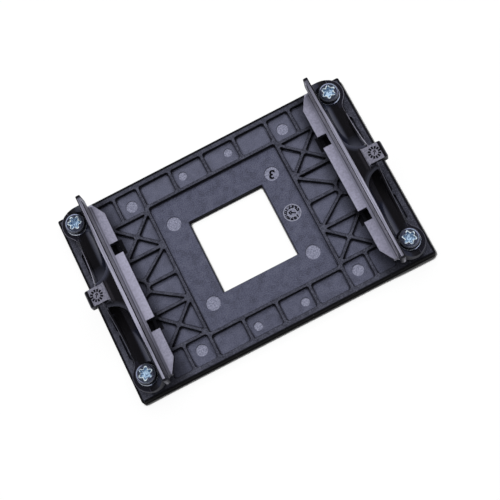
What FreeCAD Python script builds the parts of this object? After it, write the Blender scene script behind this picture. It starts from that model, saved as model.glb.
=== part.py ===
"""Processor cooler mounting set: a ribbed backplate, four threaded inserts,
two retention brackets with clip lugs, and four pan head screws.

Millimetres. The origin is the middle of the backplate's underside.
+X runs along the long side, from one bracket to the other, and +Z points
away from the backplate, towards the cooler.
"""
import FreeCAD, Part
import math
import os

V = FreeCAD.Vector

# Screw pattern of the processor socket
hole_pitch_x = 90.0
hole_pitch_y = 54.0

# Backplate, which reaches past the screws by a margin on each side
end_margin = 5.75
side_margin = 6.1
plate_thickness = 4.4
plate_floor = 2.7
plate_corner_cut = 0.35
plate_edge_chamfer = 0.3
window_side = 25.9
window_corner_cut = 0.25
recess_length = 45.0
recess_width = 45.7
long_border = 2.15
short_border = 2.4
rib_width = 1.1
diagonal_rib_width = 1.0
pocket_corner_cut = 0.45
truss_panel_length = 12.4
truss_panel_width = 11.4
middle_panel_width = 8.6
corner_pocket_length = 7.4
insert_surround = 6.6
side_pocket_width = 8.9
hub_radius = 3.6
hub_wall = 1.0

# Ejector pin marks on the pocket floors: distance along X, along Y, radius
pin_mark_depth = 0.15
small_mark = (8.2, 27.8, 1.4)
middle_mark = (27.2, 26.4, 1.9)
large_mark = (17.5, 14.65, 2.35)
date_mark = (17.5, 0.0, 2.6)
mark_sides = 16

# Threaded inserts
insert_radius = 2.5
insert_height = 7.4
insert_hex_across = 7.0
insert_hex_height = 1.3
insert_clearance = 0.05

# Screws
screw_length = 7.9
screw_radius = 1.74
thread_clearance = 0.06
head_radius = 3.45
head_rim_height = 1.7
head_height = 3.1
head_crown_radius = 2.3
recess_point_radius = 1.97
recess_flank_radius = 1.42
recess_depth = 1.7

# Brackets, with sizes along X measured from the line of the two screws
bracket_locating_depth = 0.6
bracket_locating_clearance = 0.15
screw_hole_clearance = 0.26
seat_thickness = 1.7
boss_radius = 5.25
boss_inward_shift = 0.5
boss_endward_shift = 0.3
neck_radius = 4.0
wall_inner_offset = 5.7
wall_thickness = 1.5
wall_height = 10.2
wall_overhang = 6.0
wall_step_width = 0.2
wall_step_depth = 0.4
ear_height = 6.8
ear_top_radius = 0.8
ear_bottom_radius = 1.5
ear_edge_round = 0.45
ledge_offset = 9.8
ledge_rise = 3.4
ledge_thickness = 2.2
ledge_overhang = 3.5
ledge_chamfer_length = 4.6
ledge_chamfer_width = 2.7
ledge_foot_radius = 1.2
notch_near = 11.8
notch_far = 15.75
notch_depth = 2.9
rim_offset = 2.1
rim_thickness = 0.8
rim_start = 6.5
scoop_radius = 6.0
scoop_end = 10.3
web_height = 9.8
head_bore_radius = 4.0

# Clip lugs
lug_half_width = 2.8
lug_height = 11.9
lug_inner_offset = -1.1
lug_reach = 5.85
lug_plate_thickness = 1.8
lug_nose_length = 1.6
lug_nose_drop = 1.8
lug_top_radius = 1.2
lug_inner_radius = 0.8
lug_flare_radius = 1.2
lug_side_round = 0.5
core_inner_wall = 1.3
core_outer_wall = 1.2
core_roof = 1.6
core_half_width = 3.4
core_corner_radius = 0.6

# Levels and places that follow from the sizes above
screw_x = hole_pitch_x / 2
screw_y = hole_pitch_y / 2
plate_length = hole_pitch_x + 2 * end_margin
plate_width = hole_pitch_y + 2 * side_margin
base_z = insert_height - bracket_locating_depth
seat_z = insert_height + seat_thickness
ledge_top = base_z + ledge_rise
wall_top = base_z + wall_height
web_top = base_z + web_height
lug_top = base_z + lug_height
wall_inner_x = screw_x - wall_inner_offset
wall_outer_x = wall_inner_x + wall_thickness
rim_outer_x = screw_x + rim_offset
rim_inner_x = rim_outer_x - rim_thickness
body_end = screw_y + ledge_overhang
wall_end = screw_y + wall_overhang


def box(low, high):
    """A box between two corners."""
    size = [b - a for a, b in zip(low, high)]
    return Part.makeBox(size[0], size[1], size[2], V(*low))


def upright(x, y, z0, z1, radius):
    """A cylinder along Z."""
    return Part.makeCylinder(radius, z1 - z0, V(x, y, z0))


def prism(points, direction):
    """A closed polygon pushed along a direction."""
    corners = [V(*p) for p in points]
    wire = Part.makePolygon(corners + corners[:1])
    return Part.Face(wire).extrude(V(*direction))


def is_upright(edge):
    """True for a straight edge along Z."""
    first, last = edge.Vertexes[0].Point, edge.Vertexes[-1].Point
    level = math.hypot(first.x - last.x, first.y - last.y)
    return level < 1e-6 and abs(first.z - last.z) > 1e-6


def round_upright(solid, radius):
    """The solid with all its upright edges rounded."""
    return solid.makeFillet(radius, [e for e in solid.Edges if is_upright(e)])


def mirrored(shape, axis):
    """The shape reflected through the middle plane across an axis."""
    return shape.mirror(V(0, 0, 0), V(*axis))


def in_four_corners(shapes):
    """Each shape and its reflections, for a part with two middle planes."""
    right = shapes + [mirrored(s, (0, 1, 0)) for s in shapes]
    return right + [mirrored(s, (1, 0, 0)) for s in right]


def strip(start, end, width, z0, z1):
    """A straight rib between two points of a plan."""
    dx, dy = end[0] - start[0], end[1] - start[1]
    length = math.hypot(dx, dy)
    ox, oy = -dy / length * width / 2, dx / length * width / 2
    corners = [
        (start[0] + ox, start[1] + oy, z0),
        (end[0] + ox, end[1] + oy, z0),
        (end[0] - ox, end[1] - oy, z0),
        (start[0] - ox, start[1] - oy, z0),
    ]
    return prism(corners, (0, 0, z1 - z0))


def pocket(x0, y0, x1, y1):
    """A rectangular pocket from the top face down to the floor."""
    return box((x0, y0, plate_floor), (x1, y1, plate_thickness + 1))


def cut_corners(solid, size):
    """The solid with its upright corners cut off."""
    return solid.makeChamfer(size, [e for e in solid.Edges if is_upright(e)])


def border_pockets():
    """The row of pockets along a long side, from the middle to a corner."""
    outer_y = plate_width / 2 - long_border
    recess_x = recess_length / 2
    inner_y = recess_width / 2 + rib_width
    row_length = (recess_x - 1.5 * rib_width) / 2
    first_x = rib_width / 2
    second_x = first_x + row_length + rib_width
    truss_y = truss_top() + rib_width
    third_x = recess_x + rib_width
    fourth_x = third_x + corner_pocket_length + rib_width
    row_end = screw_x - insert_surround
    return [
        pocket(first_x, inner_y, first_x + row_length, outer_y),
        pocket(second_x, inner_y, second_x + row_length, outer_y),
        pocket(third_x, truss_y, third_x + corner_pocket_length, outer_y),
        pocket(fourth_x, truss_y, row_end, outer_y),
    ]


def truss_top():
    """Where the outer truss panel ends, along Y."""
    return 1.5 * rib_width + middle_panel_width + truss_panel_width


def truss_pockets():
    """The triangular pockets beside the recess and the bays outside them."""
    x0 = recess_length / 2 + rib_width
    x1 = x0 + truss_panel_length
    bay_x0 = x1 + rib_width
    bay_x1 = plate_length / 2 - short_border
    middle_y0 = rib_width / 2
    middle_y1 = middle_y0 + middle_panel_width
    cross_y0 = middle_y1 + rib_width
    cross_y1 = truss_top()
    hub_x = x1 + rib_width / 2
    z0, z1 = plate_floor, plate_thickness + 1
    cross = pocket(x0, cross_y0, x1, cross_y1)
    for start, end in (((x0, cross_y0), (x1, cross_y1)), ((x0, cross_y1), (x1, cross_y0))):
        cross = cross.cut(strip(start, end, diagonal_rib_width, z0, z1))
    hub = upright(hub_x, 0, z0, z1, hub_radius)
    middle = pocket(x0, middle_y0, x1, middle_y1)
    middle = middle.cut(strip((x0, middle_y1), (hub_x, 0), diagonal_rib_width, z0, z1)).cut(hub)
    inner_bay = pocket(bay_x0, middle_y0, bay_x1, middle_y1).cut(hub)
    outer_bay = pocket(bay_x0, cross_y0, bay_x1, cross_y0 + side_pocket_width)
    pockets = []
    for shape in (cross, middle, inner_bay, outer_bay):
        pockets += [cut_corners(s, pocket_corner_cut) for s in shape.Solids]
    hub_pocket = upright(hub_x, 0, z0, z1, hub_radius - hub_wall)
    return pockets, hub_pocket


def pin_marks():
    """The shallow round marks that ejector pins leave on the floors."""
    marks = []
    for x, y, radius in (small_mark, middle_mark, large_mark, date_mark):
        mark = many_sided(mark_sides, radius, plate_floor - pin_mark_depth, plate_floor + 1)
        mark.translate(V(x, y, 0))
        marks.append(mark)
    return in_four_corners(marks[:3]) + marks[3:]


def many_sided(sides, radius, z0, z1):
    """An upright prism about the Z axis whose plan is a regular polygon."""
    corners = []
    for i in range(sides):
        angle = 2 * math.pi * i / sides
        corners.append((radius * math.cos(angle), radius * math.sin(angle), z0))
    return prism(corners, (0, 0, z1 - z0))


def hexagon(across, z0, z1):
    """An upright hexagonal prism about the Z axis."""
    return many_sided(6, across / math.sqrt(3), z0, z1)


def insert_seat():
    """The stepped hole that an insert is pressed into from below."""
    bore = upright(0, 0, -1, plate_thickness + 1, insert_radius + insert_clearance)
    seat = hexagon(insert_hex_across + 2 * insert_clearance, -1, insert_hex_height)
    seat = bore.fuse(seat)
    seat.translate(V(screw_x, screw_y, 0))
    return seat


def backplate():
    """The moulded plate with its window, pockets and ribs."""
    half_length, half_width = plate_length / 2, plate_width / 2
    blank = box((-half_length, -half_width, 0), (half_length, half_width, plate_thickness))
    blank = cut_corners(blank, plate_corner_cut)
    rims = [e for e in blank.Edges if e.BoundBox.ZLength < 1e-6]
    blank = blank.makeChamfer(plate_edge_chamfer, rims)
    recess = pocket(-recess_length / 2, -recess_width / 2, recess_length / 2, recess_width / 2)
    window = box((-window_side / 2, -window_side / 2, -1), (window_side / 2, window_side / 2, plate_floor + 1))
    pockets, hub_pocket = truss_pockets()
    pockets += [cut_corners(p, pocket_corner_cut) for p in border_pockets()]
    cuts = in_four_corners(pockets)
    cuts += [hub_pocket, mirrored(hub_pocket, (1, 0, 0))]
    cuts += [cut_corners(recess, pocket_corner_cut)]
    plate = blank.cut(cuts)
    holes = pin_marks() + [cut_corners(window, window_corner_cut)]
    holes += in_four_corners([insert_seat()])
    return plate.cut(holes)


def insert():
    """A threaded insert: a barrel on a hexagonal foot, about the Z axis."""
    foot = hexagon(insert_hex_across, 0, insert_hex_height)
    barrel = upright(0, 0, 0, insert_height, insert_radius)
    body = foot.fuse(barrel).removeSplitter()
    return body.cut(upright(0, 0, -1, insert_height + 1, screw_radius + thread_clearance))


def screw():
    """A pan head screw with a six pointed recess, its seat at z = 0."""
    outline = [
        V(0, 0, 0),
        V(head_radius, 0, 0),
        V(head_radius, 0, head_rim_height),
        V(head_crown_radius, 0, head_height),
        V(0, 0, head_height),
    ]
    profile = Part.Face(Part.makePolygon(outline + outline[:1]))
    head = profile.revolve(V(0, 0, 0), V(0, 0, 1), 360)
    shank = upright(0, 0, -screw_length, 0, screw_radius)
    body = head.fuse(shank).removeSplitter()
    star = []
    for i in range(12):
        radius = recess_flank_radius if i % 2 else recess_point_radius
        angle = math.radians(30 * i)
        star.append((radius * math.cos(angle), radius * math.sin(angle), head_height - recess_depth))
    return body.cut(prism(star, (0, 0, recess_depth + 1)))


def fence_wall():
    """The tall wall along the bracket, with an ear past each end."""
    half = [
        (body_end, base_z),
        (body_end, wall_top - ear_height),
        (wall_end, wall_top - ear_height),
        (wall_end, wall_top),
    ]
    outline = half + [(-y, z) for y, z in reversed(half)]
    wall = prism([(wall_inner_x - 1, y, z) for y, z in outline], (wall_thickness + 2, 0, 0))
    tops = [e for e in wall.Edges if at_ear(e, wall_top)]
    wall = wall.makeFillet(ear_top_radius, tops)
    bottoms = [e for e in wall.Edges if at_ear(e, wall_top - ear_height)]
    wall = wall.makeFillet(ear_bottom_radius, bottoms)
    plan = box((wall_inner_x, -wall_end, base_z - 1), (wall_outer_x, wall_end, wall_top + 1))
    wall = wall.common(round_upright(plan, ear_edge_round))
    step = box(
        (wall_inner_x - 1, -wall_end - 1, wall_top - wall_step_depth),
        (wall_inner_x + wall_step_width, wall_end + 1, wall_top + 1),
    )
    return wall.cut(step)


def at_ear(edge, z):
    """True for an edge across the wall at the end of an ear and height z."""
    ends = [v.Point for v in edge.Vertexes]
    return all(abs(abs(p.y) - wall_end) < 1e-6 and abs(p.z - z) < 1e-6 for p in ends)


def ledge():
    """The shelf on the socket side, with cut corners and two notches."""
    edge_x = screw_x - ledge_offset
    chamfer_y = body_end - ledge_chamfer_length
    half = [
        (wall_inner_x, body_end),
        (edge_x + ledge_chamfer_width, body_end),
        (edge_x, chamfer_y),
    ]
    outline = half + [(x, -y) for x, y in reversed(half)]
    low = ledge_top - ledge_thickness
    shelf = prism([(x, y, low) for x, y in outline], (0, 0, ledge_thickness))
    foot = foot_fillet()
    shelf = shelf.fuse(foot)
    for y0, y1 in ((notch_near, notch_far), (-notch_far, -notch_near)):
        shelf = shelf.cut(box((edge_x - 1, y0, low - 1), (edge_x + notch_depth, y1, wall_top)))
    return shelf


def foot_fillet():
    """The hollow quarter round between the ledge and the wall."""
    r = ledge_foot_radius
    x, z, y = wall_inner_x, ledge_top, -body_end
    turn = r * (1 - math.sqrt(0.5))
    arc = Part.Arc(V(x, y, z + r), V(x - turn, y, z + turn), V(x - r, y, z)).toShape()
    sides = [
        arc,
        Part.makeLine(V(x - r, y, z), V(x, y, z)),
        Part.makeLine(V(x, y, z), V(x, y, z + r)),
    ]
    return Part.Face(Part.Wire(sides)).extrude(V(0, 2 * body_end, 0))


def body_plan(z0, z1, outer_x):
    """The plan of the bracket's body with its round ends, between two levels."""
    boss_x = screw_x - boss_inward_shift
    boss_y = screw_y + boss_endward_shift
    plan = box((wall_inner_x, -boss_y, z0), (outer_x, boss_y, z1))
    for y in (boss_y, -boss_y):
        round_end = upright(boss_x, y, z0, z1, boss_radius)
        plan = plan.fuse(round_end.common(box((wall_inner_x, -2 * boss_y, z0), (2 * screw_x, 2 * boss_y, z1))))
    return plan.removeSplitter()


def base_slab():
    """The foot of the bracket, with its necks blended into the bosses."""
    slab = body_plan(base_z, seat_z, rim_outer_x)
    necks = [e for e in slab.Edges if is_upright(e) and abs(e.Vertexes[0].X - rim_outer_x) < 1e-6]
    return slab.makeFillet(neck_radius, necks)


def scoop():
    """The space over one end of the body: half a round bar with a ball end, open above."""
    axis_x = wall_outer_x + scoop_radius
    axis_z = seat_z + scoop_radius
    bar_end = 2 * screw_y
    bar = Part.makeCylinder(scoop_radius, bar_end - scoop_end, V(axis_x, scoop_end, axis_z), V(0, 1, 0))
    ball = Part.makeSphere(scoop_radius, V(axis_x, scoop_end, axis_z))
    shaft = upright(axis_x, scoop_end, axis_z, lug_top, scoop_radius)
    opening = box((wall_outer_x, scoop_end, axis_z), (axis_x + scoop_radius, bar_end, lug_top))
    return bar.fuse([ball, shaft, opening])


def hollow_body():
    """The body above the slab: a web at the middle and a scooped trough each side."""
    block = body_plan(seat_z, web_top, rim_inner_x)
    keep = box((wall_inner_x, -2 * screw_y, seat_z), (rim_inner_x, 2 * screw_y, web_top))
    block = block.common(keep)
    one = scoop()
    return block.cut([one, mirrored(one, (0, 1, 0))])


def rim():
    """The thin outer rib that sweeps up to the lug in an arc from each end."""
    start_y = screw_y - rim_start
    end_y = lug_half_width
    rise = lug_top - lug_top_radius / 2 - seat_z
    run = start_y - end_y
    radius = (run ** 2 + rise ** 2) / (2 * rise)
    half_turn = math.asin(run / radius) / 2
    x = rim_inner_x
    mid_y = start_y - radius * math.sin(half_turn)
    mid_z = seat_z + radius * (1 - math.cos(half_turn))
    sweep = Part.Arc(V(x, start_y, seat_z), V(x, mid_y, mid_z), V(x, end_y, seat_z + rise)).toShape()
    other = Part.Arc(V(x, -start_y, seat_z), V(x, -mid_y, mid_z), V(x, -end_y, seat_z + rise)).toShape()
    sides = [
        sweep,
        Part.makeLine(V(x, end_y, seat_z + rise), V(x, -end_y, seat_z + rise)),
        other,
        Part.makeLine(V(x, -start_y, seat_z), V(x, -start_y, base_z)),
        Part.makeLine(V(x, -start_y, base_z), V(x, start_y, base_z)),
        Part.makeLine(V(x, start_y, base_z), V(x, start_y, seat_z)),
    ]
    wire = Part.Wire(Part.__sortEdges__(sides))
    return Part.Face(wire).extrude(V(rim_thickness, 0, 0))


def lug():
    """The hook that the cooler's clip pulls on, with its post."""
    inner_x = screw_x + lug_inner_offset
    tip_x = screw_x + lug_reach
    under_z = lug_top - lug_plate_thickness
    nose_z = under_z - lug_nose_drop
    nose_x = tip_x - lug_nose_length
    side = [
        (inner_x, base_z),
        (rim_outer_x, base_z),
        (rim_outer_x, under_z),
        (nose_x, under_z),
        (nose_x, nose_z),
        (tip_x, nose_z),
        (tip_x, lug_top),
        (inner_x, lug_top),
    ]
    wide = lug_half_width + lug_flare_radius
    hook = prism([(x, -wide, z) for x, z in side], (0, 2 * wide, 0))
    hook = hook.makeFillet(lug_top_radius, [e for e in hook.Edges if across_at(e, tip_x, lug_top)])
    hook = hook.makeFillet(lug_inner_radius, [e for e in hook.Edges if across_at(e, inner_x, lug_top)])
    plan = box((inner_x, -wide, base_z - 1), (tip_x, wide, lug_top + 1))
    centre_x = inner_x + lug_flare_radius
    for sign in (1, -1):
        y0, y1 = sorted((sign * lug_half_width, sign * (wide + 1)))
        side_cut = box((centre_x, y0, base_z - 1), (tip_x + 1, y1, lug_top + 1))
        flare = upright(centre_x, sign * wide, base_z - 1, lug_top + 1, lug_flare_radius)
        plan = plan.cut([side_cut, flare])
    corners = [e for e in plan.Edges if is_upright(e) and abs(e.Vertexes[0].X - tip_x) < 1e-6]
    return hook.common(plan.makeFillet(lug_side_round, corners))


def across_at(edge, x, z):
    """True for an edge along Y at a given x and z."""
    return all(abs(v.X - x) < 1e-6 and abs(v.Z - z) < 1e-6 for v in edge.Vertexes)


def underside_core():
    """The cavity under the web and lug that keeps the moulding even."""
    x0 = wall_outer_x + core_inner_wall
    x1 = rim_outer_x - core_outer_wall
    core = box((x0, -core_half_width, base_z - 1), (x1, core_half_width, web_top - core_roof))
    return round_upright(core, core_corner_radius)


def screw_station():
    """What is cut out for one screw: head room, shank hole and insert seat."""
    head_room = upright(0, 0, seat_z, wall_top, head_bore_radius)
    shank_hole = upright(0, 0, base_z - 1, seat_z + 1, screw_radius + screw_hole_clearance)
    locating = upright(0, 0, base_z - 1, insert_height, insert_radius + bracket_locating_clearance)
    station = head_room.fuse([shank_hole, locating])
    station.translate(V(screw_x, screw_y, 0))
    return station


def bracket():
    """The retention bracket on the +X side."""
    body = base_slab().fuse([hollow_body(), rim(), lug(), ledge()])
    station = screw_station()
    body = body.cut([station, mirrored(station, (0, 1, 0)), underside_core()])
    return body.fuse(fence_wall()).removeSplitter()


def save(name, shape):
    """Write one piece, after checking that it is one sound solid."""
    solid = shape.Solids[0]
    print(name, "solids", len(shape.Solids), "valid", solid.isValid(), "volume", round(solid.Volume, 2))
    solid.exportStep("parts/%s.step" % name)


def main():
    os.makedirs("parts", exist_ok=True)
    save("backplate", backplate())
    right = bracket()
    save("retention_bracket_right", right)
    save("retention_bracket_left", mirrored(right, (1, 0, 0)))
    one_insert = insert()
    one_screw = screw()
    stations = (("right_back", 1, 1), ("right_front", 1, -1), ("left_back", -1, 1), ("left_front", -1, -1))
    for place, sx, sy in stations:
        nut = one_insert.copy()
        nut.translate(V(sx * screw_x, sy * screw_y, 0))
        save("threaded_insert_" + place, nut)
        bolt = one_screw.copy()
        bolt.translate(V(sx * screw_x, sy * screw_y, seat_z))
        save("screw_" + place, bolt)


main()
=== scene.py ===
"""Looks of the processor cooler mounting set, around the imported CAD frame.

Sizes are written in millimetres and turned into metres by MM. Masks are shares from 0 to 1.
"""
import math

import bmesh
import bpy
from mathutils import Matrix, Quaternion, Vector


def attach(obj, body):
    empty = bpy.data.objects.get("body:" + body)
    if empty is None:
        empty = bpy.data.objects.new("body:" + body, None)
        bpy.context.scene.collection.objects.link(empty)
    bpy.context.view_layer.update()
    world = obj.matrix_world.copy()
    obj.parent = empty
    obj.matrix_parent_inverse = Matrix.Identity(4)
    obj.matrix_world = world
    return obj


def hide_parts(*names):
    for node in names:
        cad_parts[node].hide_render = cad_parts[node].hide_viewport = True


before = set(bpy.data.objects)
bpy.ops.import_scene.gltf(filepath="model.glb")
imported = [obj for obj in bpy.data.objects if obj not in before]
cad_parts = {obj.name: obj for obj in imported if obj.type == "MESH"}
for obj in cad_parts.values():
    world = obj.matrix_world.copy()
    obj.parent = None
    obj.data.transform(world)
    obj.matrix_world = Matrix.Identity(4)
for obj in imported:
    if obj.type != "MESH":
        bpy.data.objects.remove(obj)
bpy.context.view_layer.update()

MM = 0.001

# Places on the object, as in the CAD source
SCREW_X, SCREW_Y = 45.0, 27.0
SEAT_Z = 9.1
PLATE_EDGE_X, PLATE_EDGE_Y = 50.75, 33.1
PLATE_FLOOR, PLATE_TOP = 2.7, 4.4
PANEL_HALF_X, PANEL_HALF_Y = 22.5, 22.9
WINDOW_HALF = 12.95
MARK_DEPTH = 0.15
MARKS = ((8.2, 27.8, 1.4), (27.2, 26.4, 1.9), (17.5, 14.65, 2.35))
DATE_MARK = (17.5, 0.0, 2.6)
LEDGE_EDGE_X = 35.2
UNDER_NOTCHES = ((13.3, 18.3), (-14.5, -9.3))
FOOT_LINE_X = 39.02
WALL_INNER_X, WALL_OUTER_X, WALL_TOP = 39.3, 40.8, 17.0
WALL_STEP_WIDTH = 0.2
WEB_TOP = 16.6
SCOOP_AXIS, SCOOP_RADIUS = (46.8, 10.3), 6.0
RIM_OUTER_X = 47.1
BODY_END = 30.5
LUG_TOP = 18.7
LUG_INNER_X, LUG_FACE_END = 43.9, 49.5
LUG_MARK_X = 47.5
PLACES = (("right_back", 1, 1), ("right_front", 1, -1), ("left_back", -1, 1), ("left_front", -1, -1))

# The photograph's camera
AIM = Vector((0.24, -3.77, 0.0)) * MM
DISTANCE = 413.7 * MM
ELEVATION = math.radians(73.0725)
AZIMUTH = math.radians(0.7171)
ROLL = math.radians(-27.95)
LENS, SENSOR_WIDTH = 94.023, 36.0
CLIP_NEAR, CLIP_FAR = 0.01, 20.0

# Tints of the backplate. A pair holds both ends of a mottled tint.
FLOOR_SLATE, FLOOR_GRAIN = ((0.083, 0.087, 0.133), (0.110, 0.115, 0.174)), (0.135, 0.140, 0.200)
RIB_SLATE = ((0.050, 0.051, 0.071), (0.066, 0.068, 0.094))
RIB_SHADED, RIB_LIT = (0.010, 0.010, 0.013), (0.200, 0.200, 0.250)
# Painted shade on upright faces, on the plate's rims and on what shows through the ledge notches
PLATE_WALL_SHADE = ((0.006, 0.006, 0.008), (0.012, 0.012, 0.016))
BLOTCH_DARK, SPECK_DARK, SPOT_PALE = (0.035, 0.036, 0.050), (0.028, 0.029, 0.040), (0.190, 0.196, 0.260)
# Painted light on pockets outside the middle panel; painted shade at the feet of their walls
POCKET_PAINTED_LIGHT, POCKET_FOOT_SHADE = (0.210, 0.216, 0.290), (0.010, 0.010, 0.014)
# Painted shade on the plate under the brackets
SHADE_UNDER_BRACKET = (0.004, 0.004, 0.005)
# Painted shade on the plate's outer sides
SKIRT_SHADE = (0.0020, 0.0020, 0.0026)
MARK_TINT, MARK_SHADOW = ((0.165, 0.170, 0.232), (0.345, 0.352, 0.465)), (0.026, 0.027, 0.036)
DIAL_TINT, DIAL_RING = (0.20, 0.205, 0.27), (0.42, 0.43, 0.52)
DUST = (0.30, 0.30, 0.33)
STROKE_BLACK = ((0.003, 0.003, 0.004), (0.007, 0.007, 0.010))

# Tints of the brackets. Their pale tints are a painted sheen on the eroded faces.
BRACKET_BLACK = ((0.0055, 0.0050, 0.0058), (0.0100, 0.0094, 0.0108))
COOL_SHEEN = (0.68, 0.70, 1.0)
# Painted bluish reflection on the trough slopes, and painted fill light on the boss seats
SLOPE_REFLECTION, SEAT_FILL_LIGHT = (0.014, 0.016, 0.030), (0.013, 0.0125, 0.018)
# Painted sheen on the ledge and its rounding, and more painted light on the left bracket's ledge; the
# flecks are its grain
LEDGE_SHEEN, LEDGE_LEFT_LIGHT = ((0.292, 0.286, 0.372), (0.396, 0.386, 0.498)), (0.620, 0.600, 0.740)
FLECK_DARK, FLECK_PALE = (0.170, 0.162, 0.195), (0.560, 0.548, 0.680)
LEDGE_ROUNDING_SHEEN = ((0.250, 0.247, 0.315), (0.330, 0.324, 0.412))
LEDGE_FOOT, LEDGE_SHADE = (0.050, 0.048, 0.060), (0.012, 0.011, 0.014)
# Painted sheen on the wall's inner face, and painted shade on it
WALL_FACE_SHEEN, WALL_SHADE = ((0.310, 0.300, 0.355), (0.615, 0.600, 0.700)), (0.030, 0.030, 0.034)
# Painted sheen on the wall's top strip, and painted shade towards its ends
STRIP_SHEEN, STRIP_SHADE = ((0.235, 0.232, 0.295), (0.430, 0.424, 0.530)), (0.030, 0.028, 0.036)
# Painted light on the back ears' inner faces, painted shade on the front ones
EAR_BACK_LIGHT, EAR_FRONT_SHADE = (0.420, 0.420, 0.500), (0.030, 0.030, 0.038)
# Painted sheen on the lug's face, and painted light on its sloping inner foot
LUG_SHEEN, LUG_FOOT_LIGHT = ((0.155, 0.152, 0.192), (0.255, 0.250, 0.312)), (0.036, 0.033, 0.039)
# Painted reflections round the scoops' mouths
MOUTH_REFLECTION_BACK, MOUTH_REFLECTION_FRONT = (0.042, 0.044, 0.064), (0.030, 0.031, 0.041)
# Painted reflections inside the scoops
SCOOP_END_REFLECTION, SCOOP_SIDE_REFLECTION = ((0.024, 0.025, 0.035), (0.060, 0.062, 0.084)), (0.024, 0.023, 0.029)
# Painted highlights along the outer top edges of the rim and of the slab round the bosses
HIGHLIGHT_BACK, HIGHLIGHT_FRONT = ((0.150, 0.145, 0.180), (0.360, 0.350, 0.430)), (0.078, 0.078, 0.098)

# Tints of the metal
DOME_ZINC, SHOULDER_ZINC = ((0.48, 0.51, 0.78), (0.42, 0.52, 0.72)), (0.17, 0.18, 0.22)
# The head's side, then a pale tint that is a painted highlight on its flange
SIDE_ZINC, FLANGE_HIGHLIGHT = ((0.34, 0.36, 0.43), (0.46, 0.49, 0.56)), (0.62, 0.66, 0.76)
# Painted pale blue reflection inside the recess
RECESS_REFLECTION = ((0.150, 0.235, 0.370), (0.54, 0.72, 0.90))
# Painted white highlight on the recess lip
LIP_HIGHLIGHT = ((0.12, 0.16, 0.25), (0.84, 0.95, 1.00))
ZINC_SHEEN = (0.42, 0.44, 0.49)
DULL_ZINC = ((0.50, 0.51, 0.53), (0.64, 0.65, 0.66))

# Spots: a noise's size and detail, then rows of the levels where a tint begins and is full, its share
# and the tint
PLATE_SPOTS = (
    (2.6, 3.0, ((0.52, 0.36, 0.30, BLOTCH_DARK), (0.52, 0.66, 0.16, SPOT_PALE))),
    (0.30, 2.0, ((0.50, 0.38, 0.45, SPECK_DARK), (0.50, 0.64, 0.30, SPOT_PALE))),
)
LEDGE_SPOTS = ((0.55, 2.0, ((0.50, 0.36, 0.22, FLECK_DARK), (0.50, 0.64, 0.22, FLECK_PALE))),)
DUST_SPOTS = ((0.35, 1.0, ((0.74, 0.80, 0.5, DUST),)),)

# Roughness, as the pair that it wanders between, and the shine of the dullest faces
PLATE_ROUGHNESS, SKIRT_ROUGHNESS, PLATE_SHINE = (0.48, 0.62), 0.65, 0.06
POLISHED, MATTE = 0.16, 0.55
ZINC_ROUGHNESS, DULL_ZINC_ROUGHNESS = (0.20, 0.32), (0.30, 0.45)
STROKE_ROUGHNESS, STROKE_SHINE = (0.45, 0.6), 0.1

# Areas. Each row names a value and says where its share is 0 and where it is 1. Two more numbers stand for
# other shares than 0 and 1. An area's share is the product of its rows. The values are x, y and z, the
# distances ax and ay from the middle planes, and facing_up, which is 1 on level faces.

# Areas of the backplate
# Painted shade on the ribs to the right, painted light on them to the left
RIBS_RIGHT = (("x", 20.0, 50.0, 0.0, 0.22),)
RIBS_LEFT = (("x", -20.0, -50.0, 0.0, 0.14),)
RIB_TOPS = (("z", PLATE_TOP - 0.4, PLATE_TOP - 0.1),)
BESIDE_PANEL = (
    (("ax", PANEL_HALF_X - 0.1, PANEL_HALF_X + 0.1),),
    (("ay", PANEL_HALF_Y - 0.1, PANEL_HALF_Y + 0.1),),
)
# Pocket floors: painted light, stronger towards the back
POCKET_LIGHT = (("z", PLATE_FLOOR + 0.3, PLATE_FLOOR + 0.2), ("y", -36.0, 30.0, 0.07, 0.24))
POCKET_FEET = (("z", PLATE_FLOOR + 0.2, PLATE_FLOOR + 0.1),)
# Painted shade on the plate under the brackets
UNDER_BODY = (("ax", 31.0, 36.0, 0.0, 0.58), ("ax", RIM_OUTER_X, RIM_OUTER_X - 0.5))
# Where the plate gets painted shade: upright faces, its rims, and the floor under the ledges seen through
# the notches
UPRIGHT_FACES = (("facing_up", 0.98, 0.90),)
PLATE_RIMS = (
    (("ax", PLATE_EDGE_X - 0.95, PLATE_EDGE_X - 0.6),),
    (("ay", PLATE_EDGE_Y - 0.75, PLATE_EDGE_Y - 0.5),),
    (("y", PLATE_EDGE_Y - 1.05, PLATE_EDGE_Y - 0.75),),
    (("ax", WINDOW_HALF + 0.55, WINDOW_HALF + 0.30), ("ay", WINDOW_HALF + 0.3, WINDOW_HALF, 0.0, 0.6)),
)
SHADE_SEEN_THROUGH_NOTCHES = tuple(
    (
        ("ax", LEDGE_EDGE_X - 0.5, LEDGE_EDGE_X - 0.35),
        ("ax", RIM_OUTER_X - 0.4, RIM_OUTER_X - 0.8),
        ("y", low - 0.2, low),
        ("y", high + 0.2, high),
    )
    for low, high in UNDER_NOTCHES
)
PLATE_SIDES = (
    (("ax", PLATE_EDGE_X - 0.25, PLATE_EDGE_X - 0.15),),
    (("ay", PLATE_EDGE_Y - 0.25, PLATE_EDGE_Y - 0.15),),
)
SUNK_MARK = (("z", PLATE_FLOOR - 0.02, PLATE_FLOOR - 0.1), ("z", 1.0, 2.0))
LEVEL_FLOOR = (("z", PLATE_FLOOR + 0.1, PLATE_FLOOR + 0.05), ("z", 1.0, 2.0), ("facing_up", 0.8, 0.95))
# How far from a wall a pocket's floor gets painted shade
FOOT_REACH = 0.85

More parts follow.
